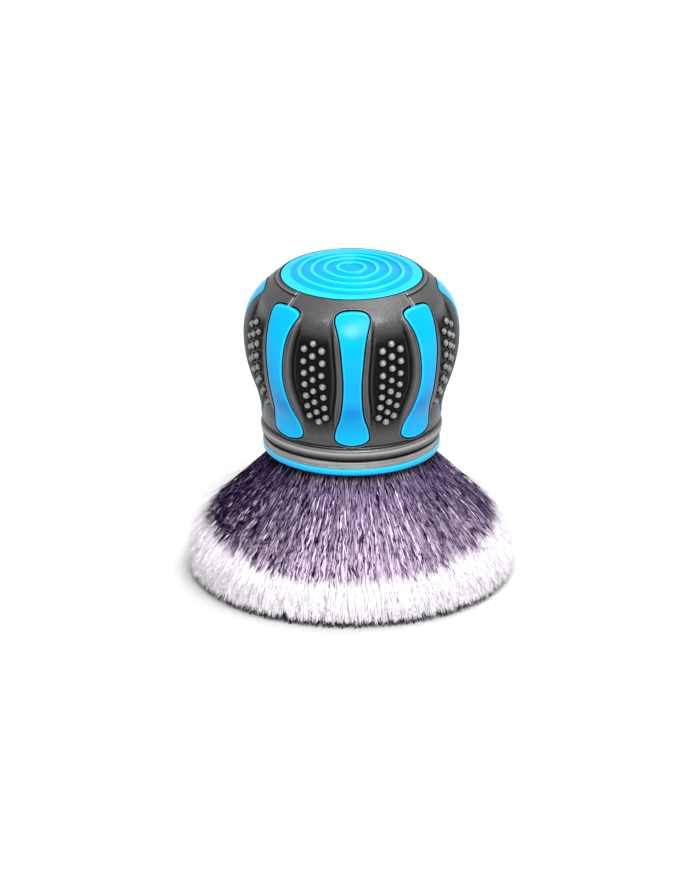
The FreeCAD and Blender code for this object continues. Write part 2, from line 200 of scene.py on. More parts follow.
def grid_faces(rows, columns, wrap_rows=False, wrap_columns=False):
    """Four-sided faces of a grid of points, numbered row by row."""
    row_count = rows if wrap_rows else rows - 1
    column_count = columns if wrap_columns else columns - 1
    i, j = np.meshgrid(np.arange(row_count), np.arange(column_count), indexing="ij")
    i2 = (i + 1) % rows
    j2 = (j + 1) % columns
    corners = [i * columns + j, i * columns + j2, i2 * columns + j2, i2 * columns + j]
    return np.stack(corners, axis=-1).reshape(-1, 4)


def rounded(corners, steps=5):
    """A closed outline through (radius, height, rounding) corners, each with a soft curve."""
    outline = []
    count = len(corners)
    for i, (x, y, rounding) in enumerate(corners):
        here = np.array([x, y])
        before = np.array(corners[i - 1][:2]) - here
        after = np.array(corners[(i + 1) % count][:2]) - here
        start = here + before / np.linalg.norm(before) * rounding
        end = here + after / np.linalg.norm(after) * rounding
        for t in np.linspace(0.0, 1.0, steps):
            outline.append((1 - t) ** 2 * start + 2 * t * (1 - t) * here + t * t * end)
    return np.array(outline)


def turned(name, outline, material, replaces, segments=288, marks=None):
    """A ring or disc: a closed (radius, height) outline turned about the axis."""
    angles = np.linspace(0, TAU, segments, endpoint=False)
    points = round_axis(outline[:, :1], angles, outline[:, 1:] + MOUTH).reshape(-1, 3)
    faces = grid_faces(len(outline), segments, wrap_rows=True, wrap_columns=True)[:, ::-1]
    per_point = {key: np.repeat(values, segments) for key, values in (marks or {}).items()}
    return make_piece(name, points, faces, material, replaces, per_point)


# ---- Materials ----


class Paint:
    """A small helper that adds nodes to one material and links them."""

    def __init__(self, name, roughness, colour=(0.5, 0.5, 0.5)):
        self.material = bpy.data.materials.new(name)
        self.material.use_nodes = True
        self.tree = self.material.node_tree
        self.shader = self.tree.nodes["Principled BSDF"]
        self.shader.inputs["Roughness"].default_value = roughness
        self.shader.inputs["Base Color"].default_value = (*colour, 1.0)
        self.place = self.add("ShaderNodeTexCoord").outputs["Object"]

    def add(self, kind, **settings):
        """A new node with its settings."""
        node = self.tree.nodes.new(kind)
        for key, value in settings.items():
            setattr(node, key, value)
        return node

    def put(self, socket, value):
        """A link, a number or a colour into an input."""
        if isinstance(value, bpy.types.NodeSocket):
            self.tree.links.new(value, socket)
        elif isinstance(value, tuple) and len(value) == 3 and socket.type == "RGBA":
            socket.default_value = (*value, 1.0)
        else:
            socket.default_value = value

    def noise(self, scale, detail=2.0, roughness=0.5, at=None, stretch=None):
        """Noise between 0 and 1 at a scale in waves per metre."""
        node = self.add("ShaderNodeTexNoise")
        node.inputs["Scale"].default_value = scale
        node.inputs["Detail"].default_value = detail
        node.inputs["Roughness"].default_value = roughness
        spot = at or self.place
        if stretch:
            scaled = self.add("ShaderNodeMapping")
            scaled.inputs["Scale"].default_value = stretch
            self.put(scaled.inputs["Vector"], spot)
            spot = scaled.outputs["Vector"]
        self.put(node.inputs["Vector"], spot)
        return node.outputs["Fac"]

    def mark(self, label):
        """A float attribute of the mesh."""
        return self.add("ShaderNodeAttribute", attribute_name=label).outputs["Fac"]

    def sums(self, operation, first, second=0.0):
        """One step of arithmetic; a sine or cosine takes only the first number."""
        node = self.add("ShaderNodeMath", operation=operation)
        self.put(node.inputs[0], first)
        self.put(node.inputs[1], second)
        return node.outputs[0]

    def total(self, *numbers):
        """All the numbers added up."""
        result = numbers[0]
        for number in numbers[1:]:
            result = self.sums("ADD", result, number)
        return result

    def parts(self, vector):
        """The X, Y and Z of a vector."""
        node = self.add("ShaderNodeSeparateXYZ")
        self.put(node.inputs[0], vector)
        return node.outputs["X"], node.outputs["Y"], node.outputs["Z"]

    def joined(self, x, y):
        """A flat vector of two numbers."""
        node = self.add("ShaderNodeCombineXYZ")
        self.put(node.inputs[0], x)
        self.put(node.inputs[1], y)
        return node.outputs[0]

    def span(self, value, start, end, to_start=0.0, to_end=1.0):
        """Maps one range of numbers to another, held at its ends."""
        node = self.add("ShaderNodeMapRange")
        for index, number in enumerate((value, start, end, to_start, to_end)):
            self.put(node.inputs[index], number)
        return node.outputs["Result"]

    def mix(self, share, first, second):
        """Two colours mixed."""
        node = self.add("ShaderNodeMix", data_type="RGBA")      # 6, 7 and 2 are its colours
        self.put(node.inputs[0], share)
        self.put(node.inputs[6], first)
        self.put(node.inputs[7], second)
        return node.outputs[2]

    def bump(self, height, strength, distance):
        """Bump from a height, added on top of any bump already there."""
        node = self.add("ShaderNodeBump")
        node.inputs["Strength"].default_value = strength
        node.inputs["Distance"].default_value = distance
        self.put(node.inputs["Height"], height)
        normal = self.shader.inputs["Normal"]
        if normal.is_linked:
            self.put(node.inputs["Normal"], normal.links[0].from_socket)
        self.put(normal, node.outputs["Normal"])

    def finish(self, colour, roughness=None):
        """Sets the colour and the roughness."""
        self.put(self.shader.inputs["Base Color"], colour)
        if roughness is not None:
            self.put(self.shader.inputs["Roughness"], roughness)
        return self.material


def blue_plastic():
    """Glossy moulded plastic, with a painted highlight along edges and crests and painted shade in
    the hollows and gaps.
    """
    paint = Paint("blue_plastic", 0.3)
    cloud = paint.noise(70.0, 2.0)
    body = paint.mix(paint.span(cloud, 0.35, 0.65), (0.0, 0.30, 0.60), (0.0, 0.34, 0.68))
    # Painted shade in the hollows, the dips and under the rim.
    body = paint.mix(paint.mark("painted_shade"), body, (0.0, 0.22, 0.56))
    # Painted highlight along rounded edges and crests.
    body = paint.mix(paint.mark("painted_highlight"), body, (0.02, 0.54, 0.88))
    # Near-black painted shade in the gaps and on hidden walls.
    body = paint.mix(paint.mark("gap"), body, (0.004, 0.004, 0.006))
    paint.shader.inputs["IOR"].default_value = 1.22
    roughness = paint.span(paint.noise(420.0, 4.0), 0.3, 0.7, 0.20, 0.28)
    paint.bump(paint.noise(500.0, 2.0), 0.1, 0.00005)
    return paint.finish(body, roughness)


def grip_rubber():
    """Matt moulded rubber with a fine mottled grain, a painted highlight on crests, lips and
    towards the top, and painted shade in creases.
    """
    paint = Paint("grip_rubber", 0.5)
    mottle = paint.noise(950.0, 5.0, 0.65)
    speck = paint.noise(1700.0, 3.0, 0.6)
    cloud = paint.noise(60.0, 3.0)
    tone = paint.span(mottle, 0.3, 0.7, 0.0, 0.5)
    tone = paint.sums("ADD", tone, paint.span(speck, 0.35, 0.7, 0.0, 0.5))
    body = paint.mix(tone, (0.001, 0.001, 0.001), (0.028, 0.0275, 0.028))
    body = paint.mix(paint.span(cloud, 0.4, 0.7, 0.0, 0.4), body, (0.026, 0.0255, 0.026))
    # Painted highlight on rib flanks, lips, beads and towards the top.
    body = paint.mix(paint.mark("painted_highlight"), body, (0.32, 0.317, 0.319))
    # Painted shade in creases, grooves and on the panels' floors.
    body = paint.mix(paint.mark("painted_shade"), body, (0.003, 0.003, 0.0032))
    # The painted shade also takes the reflection away.
    shine = paint.span(paint.mark("painted_shade"), 0.0, 1.0, 0.85, 0.0)
    paint.put(paint.shader.inputs["Specular IOR Level"], shine)
    roughness = paint.span(speck, 0.3, 0.7, 0.31, 0.44)
    paint.bump(mottle, 0.35, 0.00014)
    paint.bump(speck, 0.55, 0.0002)
    return paint.finish(body, roughness)


def nub_rubber():
    """Lighter rubber for the nubs, with a painted highlight on top and painted shade round the
    foot.
    """
    paint = Paint("nub_rubber", 0.5)
    mottle = paint.noise(1700.0, 4.0, 0.6)
    body = paint.mix(paint.span(mottle, 0.35, 0.65), (0.05, 0.0495, 0.05), (0.17, 0.168, 0.169))
    # Painted highlight on each nub's top.
    body = paint.mix(paint.mark("painted_highlight"), body, (0.31, 0.307, 0.309))
    # Painted shade round each nub's foot, which also takes the reflection away.
    body = paint.mix(paint.mark("painted_shade"), body, (0.0035, 0.0035, 0.004))
    shine = paint.span(paint.mark("painted_shade"), 0.0, 0.7, 0.8, 0.0)
    paint.put(paint.shader.inputs["Specular IOR Level"], shine)
    roughness = paint.span(mottle, 0.3, 0.7, 0.25, 0.42)
    paint.bump(mottle, 0.3, 0.00008)
    return paint.finish(body, roughness)


def band_plastic():
    """Satin grey plastic with faint turning marks round the ring."""
    paint = Paint("band_plastic", 0.45)
    turning = paint.noise(1.0, 4.0, 0.6, stretch=(60.0, 60.0, 5200.0))
    mottle = paint.noise(900.0, 4.0)
    body = paint.mix(paint.span(turning, 0.35, 0.65), (0.08, 0.079, 0.08), (0.30, 0.297, 0.299))
    body = paint.mix(paint.span(mottle, 0.4, 0.7, 0.0, 0.5), body, (0.12, 0.12, 0.12))
    # Painted shade on the band's top, bottom and inner faces, in the seams against the collar and
    # the rim.
    body = paint.mix(paint.mark("painted_shade"), body, (0.006, 0.006, 0.007))
    roughness = paint.span(turning, 0.3, 0.7, 0.36, 0.55)
    paint.bump(turning, 0.2, 0.00005)
    return paint.finish(body, roughness)


def resin():
    """Set resin, faintly cloudy."""
    paint = Paint("resin", 0.35)
    cloud = paint.noise(220.0, 4.0)
    body = paint.mix(cloud, (0.42, 0.36, 0.26), (0.60, 0.55, 0.42))
    paint.bump(cloud, 0.3, 0.0002)
    return paint.finish(body, paint.span(cloud, 0.3, 0.7, 0.25, 0.45))


PALE_START = 35.0       # length of fibre from the mouth to where it turns pale, at the front
PALE_WANDER = 2.2       # how far neighbouring tufts differ in that length
SIDE_SHORTER = 4.5      # how much sooner the fibre turns pale at the sides
FIBRE_SCALE = 60.0      # length of fibre that fills the strand map from bottom to top
ROOT_LENGTH = 8.0       # length of fibre above the mouth, in the cup
SWAY = 0.09             # how far the streaks wander round the axis, in radians
PARTINGS = 27.0         # partings between clumps of white tips, in each radian round the axis
# Painted shadow under the handle's rim, on the fibre just below the mouth.
ROOT_PAINTED_SHADOW = (0.004, 0.003, 0.006)
TIP_SHADE = (0.46, 0.36, 0.52)
# Painted shade in the partings between clumps of white tips.
PARTING_PAINTED_SHADE = (0.28, 0.19, 0.33)


def fibre(name, dark, pale, tip):
    """Dyed fibre: streaked in tufts, dark at the root and pale towards the tip.

    The strand map gives each strand its own tone and the distance along it; the direction round
    the brush's axis gives neighbouring strands their shared streaks, and sets a painted sheen,
    lighter at the front and back than at the sides, and painted light, lighter on the right.
    Near the mouth the fibre takes painted shadow from the rim.
    """
    paint = Paint(name, 0.5)
    strand_map = paint.add("ShaderNodeUVMap", uv_map="OFBake").outputs["UV"]
    along = paint.sums("MULTIPLY", paint.parts(strand_map)[1], FIBRE_SCALE)
    along = paint.sums("SUBTRACT", along, ROOT_LENGTH)
    x, y, _ = paint.parts(paint.place)
    turn = paint.sums("ARCTAN2", x, paint.sums("MULTIPLY", y, -1.0))
    sway = paint.noise(1.0, 1.0, at=paint.joined(turn, along), stretch=(9.0, 0.16, 0.0))
    swayed_turn = paint.sums("ADD", turn, paint.sums("MULTIPLY", sway, SWAY))
    swayed = paint.joined(swayed_turn, along)

    # The dyed length: streaks and breaks that tufts share, each strand's flecks and tone, then a
    # painted sheen round the axis, painted light from the right, and a change along the fibre.
    streaks = paint.noise(1.0, 1.5, 0.6, at=swayed, stretch=(84.0, 0.11, 0.0))
    breaks = paint.noise(1.0, 1.0, 0.5, at=swayed, stretch=(125.0, 0.38, 0.0))
    flecks = paint.noise(1.0, 1.0, 0.6, at=strand_map, stretch=(411.0, 16.0, 0.0))
    shade = paint.noise(1.0, 0.0, at=strand_map, stretch=(311.0, 0.0, 0.0))
    front_and_back = paint.sums("COSINE", paint.sums("MULTIPLY", turn, 2.0))
    tone = paint.total(
        paint.span(streaks, 0.34, 0.66, -0.9, 0.9),
        paint.span(breaks, 0.34, 0.66, -0.75, 0.75),
        paint.span(flecks, 0.36, 0.64, -0.6, 0.6),
        paint.span(shade, 0.3, 0.7, -0.25, 0.25),
        # Painted sheen: lighter at the front and back, darker at the sides.
        paint.sums("MULTIPLY", front_and_back, 0.39),
        # Painted light: lighter on the right side.
        paint.sums("MULTIPLY", paint.sums("SINE", turn), 0.28),
        paint.span(along, 4.0, 26.0, -0.25, 0.17),
    )
    tone = paint.span(tone, -0.24, 0.40)
    middle = tuple(0.82 * deep + 0.18 * light for deep, light in zip(dark, pale))
    body = paint.mix(paint.span(tone, 0.0, 0.5), dark, middle)
    body = paint.mix(paint.span(tone, 0.5, 1.0), body, pale)

    # The white tips, with painted shade in thin partings between their clumps.
    cells = paint.add("ShaderNodeTexVoronoi", voronoi_dimensions="1D", feature="DISTANCE_TO_EDGE")
    cells.inputs["Scale"].default_value = 1.0
    paint.put(cells.inputs["W"], paint.sums("MULTIPLY", swayed_turn, PARTINGS))
    clumps = paint.noise(1.0, 1.5, at=swayed, stretch=(56.0, 0.02, 0.0))
    parting = paint.span(cells.outputs["Distance"], 0.03, 0.09, 1.0, 0.0)
    parting = paint.sums("MULTIPLY", parting, paint.span(clumps, 0.3, 0.62, 1.0, 0.3))
    white = paint.mix(paint.span(streaks, 0.27, 0.40), TIP_SHADE, tip)
    white = paint.mix(parting, white, PARTING_PAINTED_SHADE)

    # Where one turns into the other.
    own_start = paint.noise(1.0, 0.0, at=strand_map, stretch=(173.0, 0.0, 0.0))
    edge = paint.total(
        paint.span(clumps, 0.32, 0.68, PALE_START - PALE_WANDER, PALE_START + PALE_WANDER),
        paint.span(own_start, 0.3, 0.7, -0.8, 0.8),
        paint.span(front_and_back, -1.0, 0.7, -SIDE_SHORTER, 0.0),
    )
    past_edge = paint.sums("SUBTRACT", along, edge)
    body = paint.mix(paint.span(past_edge, -0.8, 0.8), body, white)
    # Painted shadow under the rim, darkest near the mouth.
    body = paint.mix(paint.span(along, 2.0, 7.0, 0.95, 0.0), body, ROOT_PAINTED_SHADOW)
    paint.put(paint.shader.inputs["Specular IOR Level"], paint.span(tone, 0.2, 1.0, 0.0, 0.25))
    return paint.finish(body, paint.span(flecks, 0.35, 0.65, 0.30, 0.42))


BLUE = blue_plastic()
RUBBER = grip_rubber()
NUB = nub_rubber()
BAND = band_plastic()
RESIN = resin()
FIBRE = fibre("fibre", (0.008, 0.003, 0.026), (0.82, 0.65, 0.84), (0.98, 0.955, 0.985))
# A darker copy of the fibre: painted shade for the packed fibre behind the strands.
FIBRE_IN_PAINTED_SHADE = fibre("fibre_in_painted_shade", (0.006, 0.004, 0.014), (0.10, 0.07, 0.14), (0.50, 0.42, 0.54))
# Near-black copy of the fibre: painted shadow under the skirt.
SOLE_FIBRE_IN_PAINTED_SHADOW = fibre("sole_fibre", (0.003, 0.002, 0.006), (0.012, 0.01, 0.016), (0.03, 0.025, 0.035))
STRAY = fibre("stray_fibre", (0.012, 0.006, 0.030), (0.24, 0.17, 0.32), (0.92, 0.90, 0.95))

# ---- The grip's skin: ribs, scooped panels, creases and parting grooves ----

SKIN_INSET = 0.25            # how far inside the grip's outline the skin lies
SCOOP_DEPTH = 1.6            # of the panels between the ribs
CREASE_DEPTH = 0.3           # of the line along the foot of a rib
GROOVE_DEPTH = 0.6           # of the parting groove beside the disc
GROOVE_RADIUS = 22.2
LIP_RADIUS = 21.6            # of the raised lip inside that groove
NOTCH_DEPTH = 0.5            # of the notch on each diagonal
# Half width of a rib at its crest, by height above the mouth.
rib_half_width = smooth_line([
    (8.6, 5.3), (17.0, 5.2), (21.0, 5.0), (25.0, 4.55), (28.5, 4.35),
    (34.0, 4.5), (40.0, 5.0), (47.0, 5.4), (52.0, 5.4),
])


def scoop_share(height):
    """How deep a panel is at a height, from 0 to 1."""
    return ease(height, 11.3, 17.0) * ease(height, 48.3, 42.0)


def skin_shape(angle, height):
    """Radius of the grip's skin, and each point's painted highlight and painted shade."""
    outline = grip_radius(height)
    station = np.round((angle - FRONT) / STEP)
    off_rib = angle - FRONT - station * STEP
    across = np.abs(off_rib) * outline
    crest_edge = rib_half_width(height)
    share = scoop_share(height)
    wall = ease(across, crest_edge - 0.2, crest_edge + 0.9)
    crease = ripple(across, crest_edge + 0.85, 0.42) * share
    scoop = SCOOP_DEPTH * share * wall + CREASE_DEPTH * crease

    # A groove beside the disc on each flank, and a notch on each diagonal.
    side = ease(np.abs(np.cos(angle)), math.cos(math.radians(46.0)), math.cos(math.radians(44.5)))
    is_top = ease(height, 46.0, 47.5)
    arc = ripple(outline, GROOVE_RADIUS, 0.24) * side * is_top
    lip = ripple(outline, LIP_RADIUS, 0.2) * side * is_top
    odd = np.abs(np.sin(2.0 * angle)) > 0.9
    in_notch = odd * ease(height, 48.3, 48.7)
    notch = ripple(across, 0.0, 0.22) * in_notch
    bead = ripple(across, 0.5, 0.17) * in_notch
    grooves = GROOVE_DEPTH * arc + NOTCH_DEPTH * notch - 0.15 * lip - 0.12 * bead

    radius = outline - SKIN_INSET - scoop - grooves

    # Painted shade in the creases, grooves and notches, on the panels' floors and round the disc's
    # edge; painted highlight on the rib flanks, lips and beads and towards the top.
    floor = ease(across, crest_edge + 0.9, crest_edge + 2.2) * share * ease(height, 45.5, 40.5)
    rim_line = ease(outline, 20.95, 20.8)
    painted_shade = np.clip(crease + 0.95 * arc + 0.95 * notch + 0.93 * floor + rim_line, 0.0, 1.0)
    # Painted highlight on the rib flanks.
    flank = ripple(across, crest_edge + 0.1, 0.45) * share
    # Painted light, lighter towards the top of the grip.
    painted_top_light = ease(height, 43.0, 48.5)
    painted_highlight = np.clip(0.11 * flank + 0.085 * painted_top_light + 0.4 * bead + 0.3 * lip, 0.0, 1.0)
    return radius, painted_highlight, painted_shade


def make_grip_skin():
    """The soft grip, with its edges turned in at the disc and at the collar."""
    # Degrees off the middle of a rib, closest together at the rib's foot.
    half = math.degrees(STEP) / 2
    right = spread([(0.0, 2.4, 9), (2.4, 7.6, 6), (7.6, 12.6, 20), (12.6, half, 10)])
    offsets = np.concatenate([-right[:0:-1], right[:-1]])
    angles = np.concatenate([FRONT + k * STEP + np.radians(offsets) for k in range(STATIONS)])
    heights = spread([(SEAM + 0.12, 11.0, 8), (11.0, 46.5, 78), (46.5, GRIP_TOP, 42)])
    h, a = np.meshgrid(heights, angles, indexing="ij")
    radius, painted_highlight, painted_shade = skin_shape(a, h)
    # The bottom edge rolls inwards.
    radius -= 0.35 * ripple(h, SEAM, 0.35)
    # Painted shade along the rolled-in bottom edge.
    painted_shade = np.maximum(painted_shade, ripple(h, SEAM, 0.3))

    # Up the outside, over the top edge, down the inside and out to the bottom edge.
    rows = [(radius, h, painted_highlight, painted_shade)]
    top = np.full((1, len(angles)), GRIP_TOP)
    flat = np.zeros_like(top)
    # The turned-in edges and the inside take full painted shade.
    dark = np.ones_like(top)
    for inset, drop in ((0.2, 0.25), (0.45, 0.9), (2.6, 1.2)):
        rows.append((radius[-1:] - inset, top - drop, flat, dark))
    for share in (0.75, 0.5, 0.25):
        level = flat + SEAM + share * (GRIP_TOP - 2.0 - SEAM)
        rows.append((grip_radius(level) - 2.8, level, flat, dark))
    bottom = flat + SEAM + 0.12
    for inset, rise in ((2.6, 0.4), (0.9, 0.0), (0.4, -0.05)):
        rows.append((radius[:1] - inset, bottom + rise, flat, dark))
    radius, h, painted_highlight, painted_shade = (np.concatenate(column) for column in zip(*rows))
    points = leaned(round_axis(radius, angles, h + MOUTH).reshape(-1, 3))
    faces = grid_faces(len(h), len(angles), wrap_rows=True, wrap_columns=True)
    marks = {"painted_highlight": painted_highlight.ravel(), "painted_shade": painted_shade.ravel()}
    return make_piece("grip_skin", points, faces, RUBBER, ["grip_sleeve"], marks)


# ---- Inlays ----

PAD_ROUNDING = 0.5         # of an inlay's edge
PAD_CROWN = 0.22           # how far its middle line stands out
# The dip at an inlay's ankle is given painted shade, where the belly turns under.
PAD_DIP = 20.2             # height of the shaded dip at its ankle, above the mouth like these
PAD_TOP = 48.6             # the front inlay reaches a little higher than the others
FRONT_PAD_TOP = 49.5
PAD_SHOULDER = 46.8
PAD_ANKLE = 12.0
PAD_FOOT = 9.4
pad_flank = smooth_line([
    (12.0, 5.05), (14.6, 4.55), (17.1, 3.75), (20.0, 3.15), (25.0, 2.7),
    (30.0, 2.6), (36.2, 3.0), (43.2, 3.85), (46.8, 4.8),
])


def pad_outline(number):
    """Heights up one side of an inlay, and its half width at each."""
    top = FRONT_PAD_TOP if number == 1 else PAD_TOP
    quarter = np.linspace(0.0, 1.0, 24)
    foot_rise = 1 - (1 - quarter[:-1]) ** 1.7
    top_rise = 1 - (1 - quarter) ** 1.7
    heights = np.concatenate([
        PAD_FOOT + (PAD_ANKLE - PAD_FOOT) * (1 - foot_rise[::-1]),
        np.linspace(PAD_ANKLE, PAD_SHOULDER, 100)[:-1],
        PAD_SHOULDER + (top - PAD_SHOULDER) * top_rise,
    ])
    heights = np.unique(np.round(heights, 5))
    shoulder = np.clip((heights - PAD_SHOULDER) / (top - PAD_SHOULDER), 0.0, 1.0)
    foot = np.clip((PAD_ANKLE - heights) / (PAD_ANKLE - PAD_FOOT), 0.0, 1.0)
    width = pad_flank(heights)
    top_width = (width + 0.15 * shoulder) * (1.0 - shoulder ** 3.0) ** (1 / 2.4)
    width = np.where(shoulder > 0, top_width, width)
    width = np.where(foot > 0, width * (1.0 - foot ** 2.6) ** (1 / 2.2), width)
    return heights, np.maximum(width, 0.05)


def edge_distance(across, heights, outline):
    """How far points of an inlay are from its outline."""
    gaps = np.full(across.shape, 99.0)
    for x, y in outline:
        gaps = np.minimum(gaps, np.hypot(across - x, heights - y))
    return gaps


def make_pad(number):
    """One dog-bone inlay, crowned, with a rounded edge."""
    heights, width = pad_outline(number)
    edge = 1 - (1 - np.linspace(0, 1, 14)) ** 1.8
    across = np.concatenate([-edge[:0:-1], edge])
    h, u = np.meshgrid(heights, across, indexing="ij")
    w = np.repeat(width[:, None], len(across), axis=1)
    flanks = [np.stack([side * width, heights], axis=-1) for side in (1, -1)]
    from_edge = edge_distance(u * w, h, np.concatenate(flanks))
    closeness = np.clip(1 - from_edge / PAD_ROUNDING, 0.0, 1.0)
    fall = PAD_ROUNDING * 0.8 * (1 - np.sqrt(1 - closeness ** 2))
    crown = PAD_CROWN * (1 - u * u) * np.clip(w / 2.5, 0, 1)
    radius = grip_radius(h) + 0.02 + crown - fall
    # Painted highlight just inside the rounded edge.
    painted_highlight = 0.7 * ripple(from_edge, 0.36, 0.14)
    # Painted shade on the dip at the ankle, where the belly turns under.
    ankle_painted_shade = np.clip(1.1 * ripple(h, PAD_DIP, 2.6) * (1 - 0.6 * u * u), 0.0, 1.0)
    angle = np.arcsin(np.clip(u * w / grip_radius(h), -1, 1))

    # The side wall goes down into the grip all round, in near-black painted shade.
    rows = np.arange(len(heights))
    last = len(across) - 1
    ring = [(i, 0) for i in rows]
    ring += [(rows[-1], j) for j in range(1, last + 1)]
    ring += [(i, last) for i in rows[-2::-1]]
    ring += [(0, j) for j in range(last - 1, 0, -1)]
    ring = np.array(ring)
    rim = ring[:, 0] * len(across) + ring[:, 1]
    picked = tuple(ring.T)
    flat = np.zeros(len(ring))
    shapes = [[values.ravel() for values in (radius, angle, h, painted_highlight, ankle_painted_shade, np.zeros_like(h))]]
    for drop in (0.1, 1.3):
        shapes.append((radius[picked] - drop, angle[picked], h[picked], flat, flat, flat + 1.0))
    radius, angle, h, painted_highlight, ankle_painted_shade, gap = (np.concatenate(column) for column in zip(*shapes))
    turn = FRONT + (number - 1) * STEP
    points = round_axis(radius, turn + angle, h + MOUTH)
    faces = grid_faces(len(heights), len(across))
    first = len(heights) * len(across)
    size = len(rim)
    following = (np.arange(size) + 1) % size
    loops = [rim, first + np.arange(size), first + size + np.arange(size)]
    for upper, lower in zip(loops, loops[1:]):
        wall = np.stack([upper, upper[following], lower[following], lower], axis=-1)
        faces = np.concatenate([faces, wall])
    marks = {"painted_highlight": painted_highlight, "painted_shade": ankle_painted_shade, "gap": gap}
    node = f"grip_pad_{number}"
    return make_piece(f"inlay_{number}", leaned(points), faces, BLUE, [node], marks)


def make_pad_gap(number):
    """The gap round an inlay, in painted shade, and the grip's raised lip outside it, with a
    painted highlight.
    """
    heights, width = pad_outline(number)
    right = np.stack([width, heights], axis=-1)
    left = np.stack([-width, heights], axis=-1)[::-1]
    outline = np.concatenate([right, left])
    following = np.roll(outline, -1, axis=0) - np.roll(outline, 1, axis=0)
    outward = np.stack([following[:, 1], -following[:, 0]], axis=-1)
    outward /= np.linalg.norm(outward, axis=1)[:, None]
    turn = FRONT + (number - 1) * STEP
    # Across the gap: offset, rise, painted highlight and painted shade.
    profile = [
        (-0.3, -0.9, 0.0, 1.0), (-0.15, -0.15, 0.0, 1.0), (0.0, 0.06, 0.0, 1.0),
        (0.40, 0.07, 0.0, 1.0), (0.44, 0.12, 0.14, 0.0), (0.58, 0.13, 0.14, 0.0),
        (0.76, 0.04, 0.0, 0.0), (0.86, -0.25, 0.0, 0.3),
    ]
    rings = []
    painted_highlight = []
    painted_shade = []
    for offset, rise, light, dark in profile:
        spot = outline + outward * offset
        angle = turn + spot[:, 0] / grip_radius(spot[:, 1])
        radius = skin_shape(angle, spot[:, 1])[0] + rise
        rings.append(round_axis(radius, angle, spot[:, 1] + MOUTH))
        painted_highlight.append(np.full(len(spot), light))
        painted_shade.append(np.full(len(spot), dark))
    points = np.concatenate(rings)
    faces = grid_faces(len(rings), len(outline), wrap_rows=True, wrap_columns=True)
    marks = {"painted_highlight": np.concatenate(painted_highlight), "painted_shade": np.concatenate(painted_shade)}
    name = f"inlay_gap_{number}"
    return make_piece(name, leaned(points), faces, RUBBER, (), marks)


# ---- Nubs ----

NUB_ROWS = 8               # in the middle column; a side column has one fewer
NUB_PITCH = 3.52           # from one row to the next
NUB_FIRST = 15.9           # height of the lowest row above the mouth
NUB_COLUMN = math.radians(5.4)         # from one column to the next
# A nub's outline from its centre to the foot round it: radius, height, paleness (a painted
# highlight) and darkness (painted shade round the foot).
NUB_OUTLINE = np.array([
    (0.0, 0.95, 1.0, 0.0), (0.26, 0.93, 0.9, 0.0), (0.52, 0.84, 0.5, 0.0), (0.76, 0.66, 0.1, 0.0),
    (0.94, 0.42, 0.0, 0.1), (1.04, 0.18, 0.0, 0.6), (1.09, 0.03, 0.0, 1.0), (1.45, 0.03, 0.0, 1.0),
    (1.55, -0.12, 0.0, 0.9),
])


def nub_places():
    """Angle from the panel's middle and height above the mouth of each nub of one panel."""
    for column in (-1, 0, 1):
        side = abs(column)
        for row in range(NUB_ROWS - side):
            yield column * NUB_COLUMN, NUB_FIRST + (row + 0.5 * side) * NUB_PITCH


def make_nubs(number):
    """One panel's nubs, each a little different, seated on the scooped skin."""
    random = np.random.default_rng(SEEDS["nubs"] + number)
    middle = FRONT + (number - 0.5) * STEP
    sides = 20
    ring = np.linspace(0, TAU, sides, endpoint=False)
    all_points = []
    all_faces = []
    bases = []
    painted_highlight = []
    painted_shade = []
    per_nub = len(NUB_OUTLINE) * sides
    for index, (offset, height) in enumerate(nub_places()):
        scale = random.uniform(0.93, 1.07)
        tall = random.uniform(0.9, 1.12)
        spot_angle = middle + offset + random.normal(0, 0.003)
        spot_height = height + random.normal(0, 0.09)
        slope = (grip_radius(spot_height + 0.2) - grip_radius(spot_height - 0.2)) / 0.4
        out = np.array([math.cos(spot_angle), math.sin(spot_angle), -slope])
        out /= np.linalg.norm(out)
        along = np.array([-math.sin(spot_angle), math.cos(spot_angle), 0.0])
        up = np.cross(out, along)
        seat = skin_shape(np.array(spot_angle), np.array(spot_height))[0]
        base = round_axis(seat, spot_angle, spot_height + MOUTH)
        for radius, rise, pale, dark in NUB_OUTLINE:
            circle = radius * scale * (np.cos(ring)[:, None] * along + np.sin(ring)[:, None] * up)
            all_points.append(base + circle + out * rise * tall)
            bases.append(np.tile(base, (sides, 1)))
            # Painted highlight towards the top and painted shade round the foot.
            painted_highlight.append(np.full(sides, 0.8 * pale))
            painted_shade.append(np.full(sides, dark))
        all_faces.append(grid_faces(len(NUB_OUTLINE), sides, wrap_columns=True) + index * per_nub)
    marks = {"painted_highlight": np.concatenate(painted_highlight), "painted_shade": np.concatenate(painted_shade)}
    points = leaned(np.concatenate(all_points), np.concatenate(bases))
    faces = np.concatenate(all_faces)[:, ::-1]
    node = f"nub_strip_{number}"
    return make_piece(f"nubs_{number}", points, faces, NUB, [node], marks)


# ---- The top disc and the rings at the mouth ----


DISC_CREST = 4.1           # radius of the disc's first crest
DISC_PITCH = 3.65          # from one crest to the next
DISC_EDGE = 0.5            # rounding of its edge


